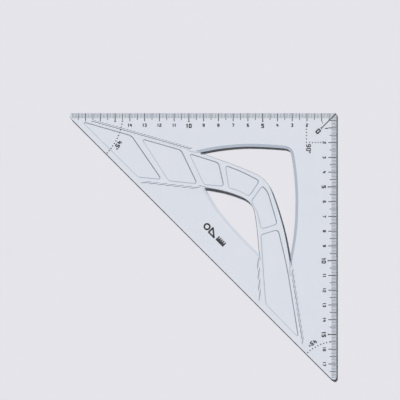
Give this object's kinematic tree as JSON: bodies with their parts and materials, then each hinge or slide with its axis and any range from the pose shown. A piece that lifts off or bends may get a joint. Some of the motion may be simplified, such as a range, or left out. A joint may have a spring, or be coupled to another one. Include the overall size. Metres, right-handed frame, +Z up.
{
  "type": "set square",
  "caption": "Clear plastic 45 degree set square with two bevelled metric scale edges, a curved opening and a raised grip band crossing it.",
  "frame": {"origin": "middle of the bounding box, on the flat underside that rests on the paper", "axes": "+Z up out of the paper, +X towards the edge with the side scale, +Y towards the edge with the top scale; the right-angle corner is at +X +Y"},
  "size_m": [0.1806, 0.1806, 0.0025],
  "materials": {
    "clear_plastic": "polished clear plastic, taken to be polystyrene, with a faint blue tint",
    "black_ink": "matt printed ink on the underside; used by the visual model's print"
  },
  "bodies": {
    "root": {"plate": "clear_plastic", "grip_frame": "clear_plastic", "ridge_row_left_outer": "clear_plastic", "ridge_row_left_inner": "clear_plastic", "ridge_row_lower_inner": "clear_plastic", "ridge_row_lower_outer": "clear_plastic"}
  },
  "joints": []
}
